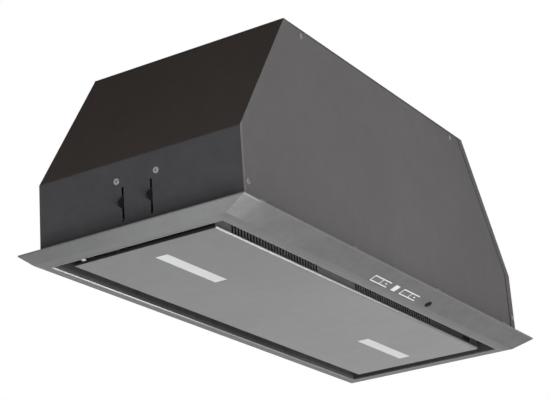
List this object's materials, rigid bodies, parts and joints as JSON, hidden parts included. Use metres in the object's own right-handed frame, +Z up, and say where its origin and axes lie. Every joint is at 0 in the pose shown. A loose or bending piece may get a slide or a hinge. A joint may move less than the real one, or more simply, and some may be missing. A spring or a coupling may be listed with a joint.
{
  "type": "built-in cooker hood",
  "caption": "Built-in cooker hood: tapered steel casing, bevelled frame with push keys, hinged panel with lamp strips, filters, blower and flapped outlet collar.",
  "frame": {"origin": "centre of the frame's seat plane, the face that lies against the cabinet's underside", "axes": "+X along the front to the viewer's right, +Y from the front to the back, +Z up into the cabinet"},
  "size_m": [0.7, 0.278, 0.303],
  "materials": {
    "frame_enamel": "satin metallic grey enamel",
    "casing_enamel": "satin dark warm grey enamel",
    "panel_enamel": "satin metallic grey enamel, lighter",
    "screw_zinc": "zinc plated",
    "spring_steel": "blackened spring steel",
    "zinc_sheet": "galvanised sheet",
    "rivet_metal": "plain",
    "hinge_steel": "polished",
    "lamp_diffuser": "opal",
    "circuit_board": "board green",
    "key_grey": "as the frame",
    "key_white": "white",
    "dark_plastic": "fine grain",
    "smoked_plastic": "smoked",
    "filter_aluminium": "rolled",
    "latch_plastic": "fine grain",
    "scroll_plastic": "moulded",
    "motor_steel": "plated",
    "motor_core": "laminated",
    "flap_plastic": "moulded",
    "capacitor_plastic": "moulded",
    "driver_plastic": "moulded",
    "lead_pvc": "sheathed"
  },
  "bodies": {
    "hood": {"bevel_frame": "frame_enamel", "front_plate": "casing_enamel", "back_plate": "casing_enamel", "left_side_plate": "casing_enamel", "right_side_plate": "casing_enamel", "top_plate": "casing_enamel", "casing_screws": "screw_zinc", "clip_brackets": "zinc_sheet", "clip_pins": "zinc_sheet", "clip_rivets": "rivet_metal", "catch_magnets": "dark_plastic", "hinge_pins": "hinge_steel", "control_board": "circuit_board", "control_box": "dark_plastic", "sensor_window": "smoked_plastic", "intake_deck": "casing_enamel", "filter_rails": "zinc_sheet", "filter_frame_left": "filter_aluminium", "filter_meshes": "filter_aluminium", "filter_frame_right": "filter_aluminium", "scroll_left": "scroll_plastic", "scroll_right": "scroll_plastic", "motor_housing": "motor_steel", "motor_bearings": "hinge_steel", "motor_stator": "motor_core", "motor_bracket": "zinc_sheet", "blower_rails": "zinc_sheet", "outlet_duct": "scroll_plastic", "outlet_collar": "scroll_plastic", "flap_pin": "hinge_steel", "terminal_box": "dark_plastic", "terminal_lid": "dark_plastic", "mains_gland": "dark_plastic", "capacitor": "capacitor_plastic", "led_driver": "driver_plastic", "terminal_block": "driver_plastic", "motor_lead": "lead_pvc"},
    "panel": {"perimeter_panel": "panel_enamel", "catch_plates": "zinc_sheet", "lamp_lenses": "lamp_diffuser", "lamp_cases": "zinc_sheet", "lamp_boards": "circuit_board"},
    "fan": {"fan_disc": "zinc_sheet", "fan_blades": "zinc_sheet", "fan_rings": "zinc_sheet", "motor_rotor": "motor_core", "motor_shaft": "hinge_steel"},
    "left_key": {"key_left": "key_grey", "key_left_mark": "key_white"},
    "right_key": {"key_right": "key_grey", "key_right_mark": "key_white"},
    "centre_key": {"key_centre": "key_white"},
    "left_latch": {"filter_latch_left": "latch_plastic"},
    "right_latch": {"filter_latch_right": "latch_plastic"},
    "left_front_clip": {"clip_left_front": "spring_steel"},
    "left_back_clip": {"clip_left_back": "spring_steel"},
    "right_front_clip": {"clip_right_front": "spring_steel"},
    "right_back_clip": {"clip_right_back": "spring_steel"},
    "front_flap": {"flap_front": "flap_plastic"},
    "back_flap": {"flap_back": "flap_plastic"}
  },
  "joints": [
    {"name": "panel_hinge", "type": "hinge", "parent": "hood", "child": "panel", "pos_m": [0, 0.077, -0.0048], "axis": [1, 0, 0], "range_deg": [0, 80]},
    {"name": "fan_spin", "type": "hinge", "parent": "hood", "child": "fan", "pos_m": [0, -0.02, 0.124], "axis": [1, 0, 0], "continuous": true},
    {"name": "left_key_press", "type": "slide", "parent": "hood", "child": "left_key", "axis": [0, 0.3567, 0.9342], "range_m": [0, 0.001], "stiffness_N_per_m": 250},
    {"name": "right_key_press", "type": "slide", "parent": "hood", "child": "right_key", "axis": [0, 0.3567, 0.9342], "range_m": [0, 0.001], "stiffness_N_per_m": 250},
    {"name": "centre_key_press", "type": "slide", "parent": "hood", "child": "centre_key", "axis": [0, 0.3567, 0.9342], "range_m": [0, 0.001], "stiffness_N_per_m": 250},
    {"name": "left_latch_slide", "type": "slide", "parent": "hood", "child": "left_latch", "axis": [0, 1, 0], "range_m": [0, 0.006], "stiffness_N_per_m": 150},
    {"name": "right_latch_slide", "type": "slide", "parent": "hood", "child": "right_latch", "axis": [0, 1, 0], "range_m": [0, 0.006], "stiffness_N_per_m": 150},
    {"name": "left_front_clip_swing", "type": "hinge", "parent": "hood", "child": "left_front_clip", "pos_m": [-0.3208, -0.01575, 0.058], "axis": [0, -1, 0], "range_deg": [0, 24], "stiffness_Nm_per_rad": 0.6},
    {"name": "left_back_clip_swing", "type": "hinge", "parent": "hood", "child": "left_back_clip", "pos_m": [-0.3208, 0.01975, 0.058], "axis": [0, -1, 0], "range_deg": [0, 24], "stiffness_Nm_per_rad": 0.6},
    {"name": "right_front_clip_swing", "type": "hinge", "parent": "hood", "child": "right_front_clip", "pos_m": [0.3208, -0.01575, 0.058], "axis": [0, 1, 0], "range_deg": [0, 24], "stiffness_Nm_per_rad": 0.6},
    {"name": "right_back_clip_swing", "type": "hinge", "parent": "hood", "child": "right_back_clip", "pos_m": [0.3208, 0.01975, 0.058], "axis": [0, 1, 0], "range_deg": [0, 24], "stiffness_Nm_per_rad": 0.6},
    {"name": "front_flap_lift", "type": "hinge", "parent": "hood", "child": "front_flap", "pos_m": [0, 0.026, 0.2578], "axis": [-1, 0, 0], "range_deg": [0, 75]},
    {"name": "back_flap_lift", "type": "hinge", "parent": "hood", "child": "back_flap", "pos_m": [0, 0.026, 0.2578], "axis": [1, 0, 0], "range_deg": [0, 75]}
  ]
}
